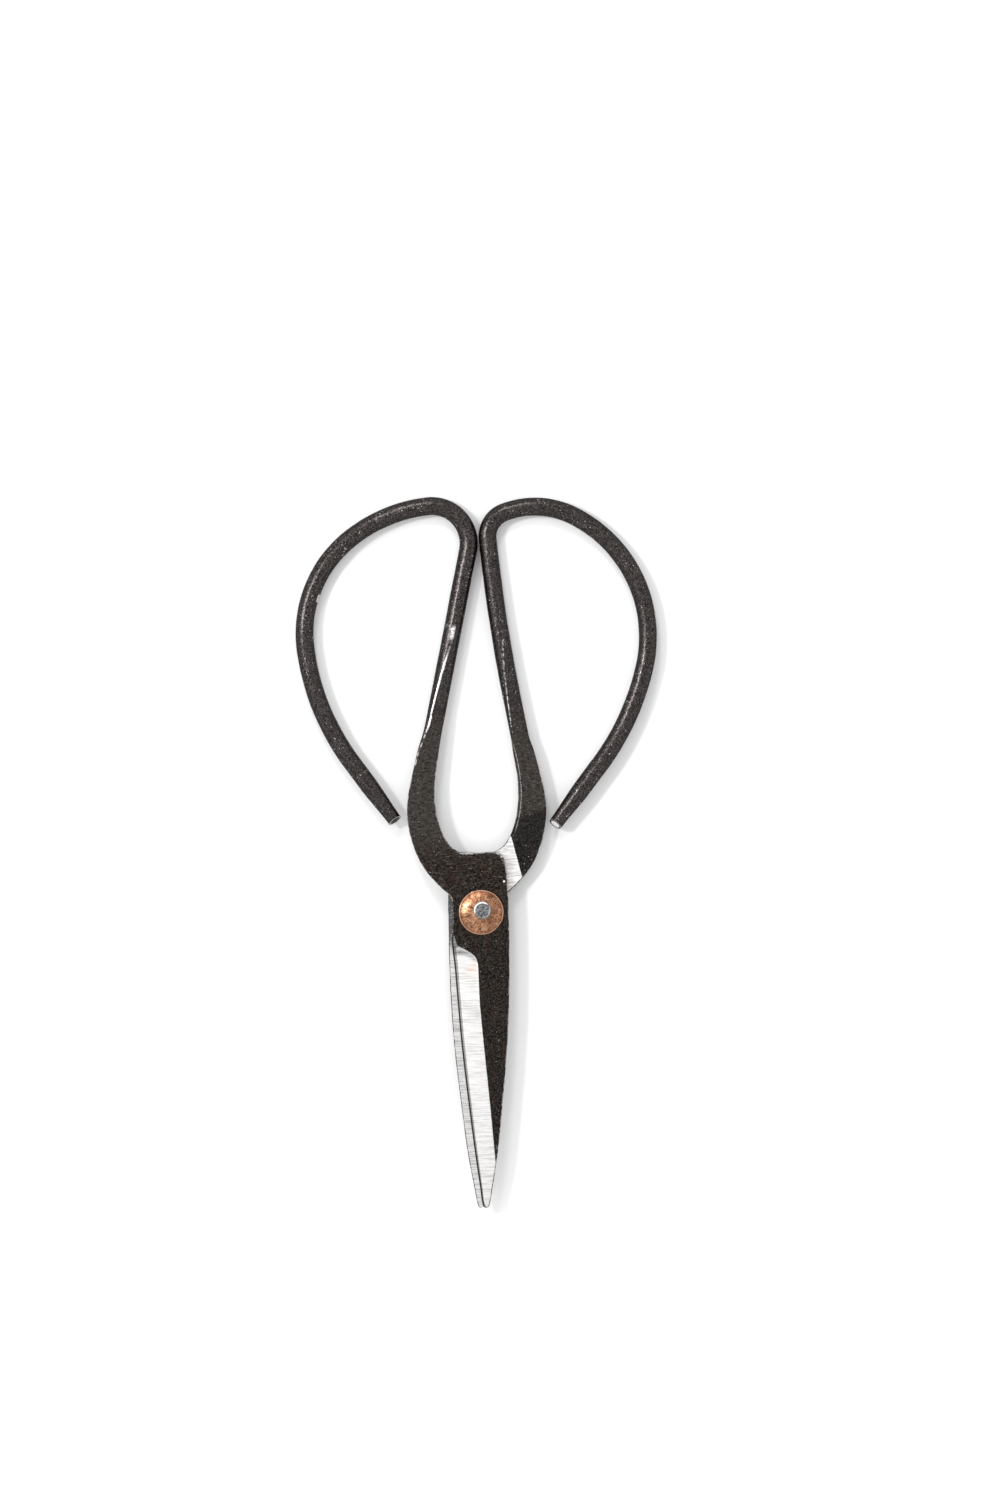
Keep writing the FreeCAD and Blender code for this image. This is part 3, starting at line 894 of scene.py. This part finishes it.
def worn_steel(m):
    """Where bare steel shows through the scale: on ridges and corners, and at a few knocks."""
    ragged_ridge = m.math("ADD", m.ridge, m.math("MULTIPLY_ADD", m.mottle, 0.6, -0.3))
    breaks = m.span(m.noise(m.stretch(m.flow, (1, 0.35, 1)), 1.1, 3.0), 0.36, 0.46)
    streak = m.both(m.span(ragged_ridge, 0.30, 0.16), m.band(m.y, (43.0, 47.0), (66.0, 63.0)),
                    m.upper, breaks)
    faint_ridge = m.both(m.span(m.ridge, 0.26, 0.08), m.span(m.medium, 0.42, 0.6), 0.55)

    chip = m.math("MULTIPLY_ADD", m.fine, 0.5, m.math("MULTIPLY", m.mottle, 0.5))
    shank_knock = m.both(m.band(m.y, (67.6, 69.2), (72.2, 70.6)),
                         m.band(m.across, (-0.55, -0.1), (0.85, 0.4)), m.span(chip, 0.41, 0.47), m.upper,
                         m.span(m.x, -15.0, -12.0), m.span(m.height, 0.0, 0.5))
    bow_knock = m.both(m.near(m.place, BOW_KNOCK, 0.5, 0.9), m.span(m.fine, 0.45, 0.52),
                       m.band(m.height, (0.1, 0.5), (1.5, 1.2)))
    block_knock = m.both(m.near(m.place, BLOCK_KNOCK, 0.10, 0.26), m.upper)

    speckle = m.math("ADD", m.specks, m.math("MULTIPLY", m.broad, 0.4))
    flecks = m.both(m.span(speckle, 0.90, 0.95), m.rod, 0.7)
    pinpricks = m.both(m.span(m.specks, 0.71, 0.76), m.plate, 0.6)
    top_edge = m.both(m.span(m.rim, 0.65, 0.3), m.band(m.y, (11.0, 12.5), (16.5, 15.5)),
                      m.span(m.x, -7.0, -4.5), m.span(m.mottle, 0.45, 0.55), m.upper,
                      m.span(m.height, PLATE - 0.7, PLATE - 0.35), 0.6)
    corner = m.both(m.span(m.rim, 0.28, 0.1), m.span(m.math("ADD", m.medium, m.streaks), 0.95, 1.15), 0.4)
    beside_rim = m.math("ABSOLUTE", m.math("SUBTRACT", m.rim, 0.78))
    neck_line = m.both(m.span(beside_rim, 0.16, 0.04), m.lower, m.span(m.across, 0.0, 0.5),
                       m.span(m.height, 0.0, -0.3), m.band(m.y, (16.0, 20.0), (50.0, 44.0)),
                       m.span(m.mottle, 0.36, 0.56), 0.32)
    return m.either(streak, faint_ridge, shank_knock, bow_knock, block_knock, flecks, pinpricks, top_edge,
                    corner, neck_line)


def ground_colour(m):
    """Ground steel: the bevel with its honed edge on the outside, and the flat inner face."""
    bevel = m.mix(m.span(m.hatch, 0.34, 0.56), grey(0.36, 0.02), grey(0.60, 0.012))
    honed = m.mix(m.span(m.hatch, 0.35, 0.65), grey(0.15, 0.04), grey(0.30, 0.03))
    # painted shade: the outermost strip of the honed edge is coloured dark along the cutting edge
    honed = m.mix(m.painted_light_lip, honed, m.mix(m.medium, grey(0.012, 0.1), grey(0.05, 0.15)))

    inner = m.mix(m.span(m.hatch, 0.38, 0.58), grey(0.42, 0.01), grey(0.93, 0.01))
    inner = m.mix(m.span(m.coarse_hatch, 0.58, 0.70, 0.0, 0.45), inner, grey(0.22, 0.06))
    inner = m.mix(m.both(m.lower, m.span(m.y, 0.0, -6.0), 0.32), inner, grey(0.24, 0.01))
    stain = m.both(m.lower, m.near(m.place, PATCH_STAIN, 0.5, 2.0), m.span(m.medium, 0.4, 0.6), 0.6)
    inner = m.mix(stain, inner, STAIN_COLOUR)

    flat = m.span(m.height, 0.05, 0.03)
    beside_block = m.both(flat, m.lower, m.span(m.y, -11.0, -6.0), m.span(m.x, -5.0, -6.0))
    inner = m.mix(beside_block, inner, m.mix(m.span(m.mottle, 0.5, 0.68), grey(0.09), grey(0.45)))
    colour = m.mix(flat, m.mix(m.honed, bevel, honed), inner)
    rust = m.both(m.near(m.place, BEVEL_RUST, 0.4, 2.4), m.span(m.hatch, 0.56, 0.44), m.upper, 0.5)
    return m.mix(rust, colour, RUST_COLOUR)


def forged_steel():
    m = SteelShader()
    end_bright = m.mix(m.lower, m.span(m.cut, 0.72, 0.84, 0.0, 0.7), 0.9)
    end_middle = m.mix(m.lower, 1.0, m.span(m.cut, 0.8, 0.6))
    cut_end = m.both(m.span(m.cut, 0.0, 0.02), end_bright, end_middle)
    bare = m.either(m.both(worn_steel(m), m.black), cut_end)
    colour = m.mix(m.ground, scale_colour(m), ground_colour(m))
    colour = m.mix(bare, colour, grey(0.88, 0.01))
    metal = m.either(m.ground, m.both(bare, m.span(m.cut, 0.02, 0.0)))

    scale_rough, shine = scale_gloss(m)
    rough = m.mix(m.ground, scale_rough, m.span(m.coarse_hatch, 0.3, 0.7, 0.38, 0.48))
    rough = m.mix(bare, rough, 0.38)
    rough = m.mix(m.both(m.ground, m.painted_light_lip), rough, 0.6)

    ripple = m.noise(m.stretch(m.flow, (0.3, 1, 0.3)), 1.5, 3.0, 0.6)
    ripple = m.both(ripple, m.band(m.y, (20.0, 28.0), (48.0, 40.0)), 1.2)
    grit = m.math("ADD", m.math("ADD", m.fine, m.mottle), m.math("MULTIPLY", m.medium, 1.4))
    grit = m.both(m.math("ADD", grit, ripple), m.black)
    normal = m.bump(grit, 0.09, m.mix(m.rod, 0.8, 0.16))
    normal = m.bump(m.both(m.hatch, m.ground), 0.006, 0.5, normal)
    warm = m.both(m.span(m.y, -12.0, -2.0), m.black)
    tint = m.mix(warm, (1.0, 1.0, 1.0, 1), WARM_SHEEN)
    return m.finish(base_color=colour, metallic=metal, roughness=rough, specular_ior_level=shine,
                    specular_tint=tint, normal=normal)


def copper():
    m = Shader("copper")
    offset = m.attribute("offset", "Vector")
    radius = m.attribute("radius")
    direction = m.add("ShaderNodeVectorMath", {0: m.stretch(offset, (1, 1, 0))}, operation="NORMALIZE")
    along_x, along_y, _ = m.parts(direction)
    polar = m.add("ShaderNodeCombineXYZ", {0: along_x, 1: along_y, 2: m.math("MULTIPLY", radius, 0.10)})
    rays = m.noise(polar, 5.0, 4.0, 0.75)
    wide = m.noise(polar, 1.7, 2.0)
    blotch = m.noise(offset, 0.8, 3.0)
    pits = m.noise(offset, 3.6, 2.0)
    grain = m.noise(offset, 2.6, 4.0, 0.8)
    texture = m.math("MULTIPLY_ADD", grain, 0.65, m.math("MULTIPLY", rays, 0.35))
    colour = m.mix(m.span(texture, 0.38, 0.62), (0.10, 0.032, 0.012, 1), (0.63, 0.325, 0.185, 1))
    colour = m.mix(m.span(wide, 0.5, 0.66, 0.0, 0.6), colour, (0.13, 0.05, 0.026, 1))
    colour = m.mix(m.span(blotch, 0.52, 0.7, 0.0, 0.6), colour, (0.62, 0.40, 0.27, 1))
    colour = m.mix(m.span(pits, 0.64, 0.70, 0.0, 0.85), colour, (0.035, 0.016, 0.010, 1))
    place = m.millimetres()
    tarnish = m.both(m.near(place, WASHER_TARNISH, 0.2, 1.1), m.span(blotch, 0.3, 0.55), 0.85)
    colour = m.mix(tarnish, colour, (0.09, 0.05, 0.022, 1))
    freckles = m.both(m.near(place, WASHER_FRECKLES, 0.6, 1.0), m.span(pits, 0.5, 0.58), 0.8)
    colour = m.mix(freckles, colour, (0.07, 0.03, 0.015, 1))
    rim = m.span(radius, WASHER_RADIUS - 0.34, WASHER_RADIUS - 0.14)
    groove = m.both(m.span(radius, WASHER_RADIUS - 0.8, WASHER_RADIUS - 0.45), m.inverse(rim), 0.5)
    colour = m.mix(groove, colour, (0.14, 0.06, 0.03, 1))
    colour = m.mix(m.both(rim, 0.8), colour, (0.62, 0.36, 0.24, 1))
    rough = m.span(rays, 0.3, 0.7, 0.2, 0.38)
    normal = m.bump(m.math("ADD", rays, m.math("MULTIPLY", pits, 0.3)), 0.09, 0.8)
    return m.finish(base_color=colour, metallic=1.0, roughness=rough, normal=normal)


def rivet_steel():
    m = Shader("rivet_steel")
    offset = m.attribute("offset", "Vector")
    radius = m.attribute("radius")
    blotch = m.noise(offset, 2.4, 4.0, 0.8)
    speck = m.noise(offset, 4.2, 2.0)
    colour = m.mix(m.span(blotch, 0.40, 0.60), grey(0.025, 0.0), grey(0.29, -0.02))
    colour = m.mix(m.span(speck, 0.58, 0.7, 0.0, 0.6), colour, grey(0.55))
    colour = m.mix(m.span(speck, 0.40, 0.32, 0.0, 0.7), colour, (0.055, 0.04, 0.03, 1))
    painted_light_lip = m.band(radius, (HEAD_RADIUS - 0.52, HEAD_RADIUS - 0.42), (HEAD_RADIUS - 0.05, HEAD_RADIUS - 0.2))
    to_light = m.add("ShaderNodeVectorMath", {0: offset, 1: PAINTED_HIGHLIGHT_SIDE}, "Value",
                     operation="DOT_PRODUCT")
    # painted highlight: a white crescent on the side of the head's lip that faces the lamps
    painted_highlight_crescent = m.both(painted_light_lip, m.span(to_light, 0.2, 1.0))
    colour = m.mix(m.both(painted_light_lip, 0.45), colour, grey(0.30, 0.06))
    colour = m.mix(painted_highlight_crescent, colour, grey(0.95))
    rough = m.span(blotch, 0.3, 0.7, 0.34, 0.5)
    normal = m.bump(m.math("ADD", blotch, m.math("MULTIPLY", speck, 0.4)), 0.07, 0.6)
    return m.finish(base_color=colour, metallic=1.0, roughness=rough, normal=normal)


def paper():
    m = Shader("paper")
    grain = m.noise(m.add("ShaderNodeTexCoord", output="Object"), 60.0, 2.0)
    colour = m.mix(grain, grey(0.885, 0.001), grey(0.895, 0.001))
    return m.finish(base_color=colour, roughness=0.95, specular_ior_level=0.0)


# ---------------------------------- stage, light and camera

FLOOR_SIZE = 4.0
FLOOR_TILT = math.radians(1.2)
FLOOR_TOUCHES_Y = 2.3 * MM
CAMERA_CENTRE = (4.85 * MM, 41.53 * MM)
CAMERA_HEIGHT = 1.6
CAMERA_UP = (0.01056, 1.0)
VIEW_HEIGHT = 0.3755
SENSOR = 24.0
WORLD_STRENGTH = 1.02
LIGHT_TARGET = (0, 0.02, 0)

# Round lamps: name, place and diameter in metres, power in watts.
LIGHTS = [
    ("key", (-0.80, 0.22, 0.75), 0.42, 1.25),
    ("sparkle", (-0.60, 0.24, 0.88), 0.12, 3.6),
    ("top", (-0.18, 0.78, 0.80), 0.20, 2.4),
]


def add_floor():
    mesh = bpy.data.meshes.new("floor")
    half = FLOOR_SIZE / 2
    corners = [(-half, -half), (half, -half), (half, half), (-half, half)]
    rise = math.tan(FLOOR_TILT)
    mesh.from_pydata([(x, y, (y - FLOOR_TOUCHES_Y) * rise) for x, y in corners], [], [(0, 1, 2, 3)])
    mesh.materials.append(paper())
    floor = bpy.data.objects.new("floor", mesh)
    bpy.context.scene.collection.objects.link(floor)


def add_light(name, place, size, power):
    lamp = bpy.data.lights.new(name, "AREA")
    lamp.shape = "DISK"
    lamp.size = size
    lamp.energy = power
    holder = bpy.data.objects.new(name, lamp)
    holder.location = place
    aim = Vector(LIGHT_TARGET) - Vector(place)
    holder.rotation_euler = aim.to_track_quat("-Z", "Y").to_euler()
    bpy.context.scene.collection.objects.link(holder)


def add_world(strength):
    world = bpy.data.worlds.new("studio")
    world.use_nodes = True
    background = next(n for n in world.node_tree.nodes if n.type == "BACKGROUND")
    background.inputs["Color"].default_value = (1, 1, 1, 1)
    background.inputs["Strength"].default_value = strength
    bpy.context.scene.world = world


def add_camera():
    camera = bpy.data.cameras.new("camera")
    camera.sensor_fit = "VERTICAL"
    camera.sensor_height = SENSOR
    camera.lens = SENSOR * CAMERA_HEIGHT / VIEW_HEIGHT
    camera.clip_start = 0.05
    camera.clip_end = 20
    holder = bpy.data.objects.new("camera", camera)
    holder.location = (*CAMERA_CENTRE, CAMERA_HEIGHT + JOINT * MM)
    holder.rotation_euler = (0, 0, -math.atan2(CAMERA_UP[0], CAMERA_UP[1]))
    bpy.context.scene.collection.objects.link(holder)
    bpy.context.scene.camera = holder


# ---------------------------------- the scene

steel = forged_steel()
copper_finish = copper()
add_half("upper_forging", UPPER_BOW, seed=5.0, is_lower=False, body="upper", node="upper_half",
         material=steel)
add_half("lower_forging", LOWER_BOW, seed=19.0, is_lower=True, body="lower", node="lower_half",
         material=steel)
add_rivet(rivet_steel())
add_washer("near_washer", "front_washer", copper_finish, mirrored=False, seed=1.3)
add_washer("far_washer", "back_washer", copper_finish, mirrored=True, seed=8.7)
add_floor()
add_world(WORLD_STRENGTH)
for light in LIGHTS:
    add_light(*light)
add_camera()
bpy.context.scene.view_settings.view_transform = "Standard"
bpy.context.scene.view_settings.look = "None"
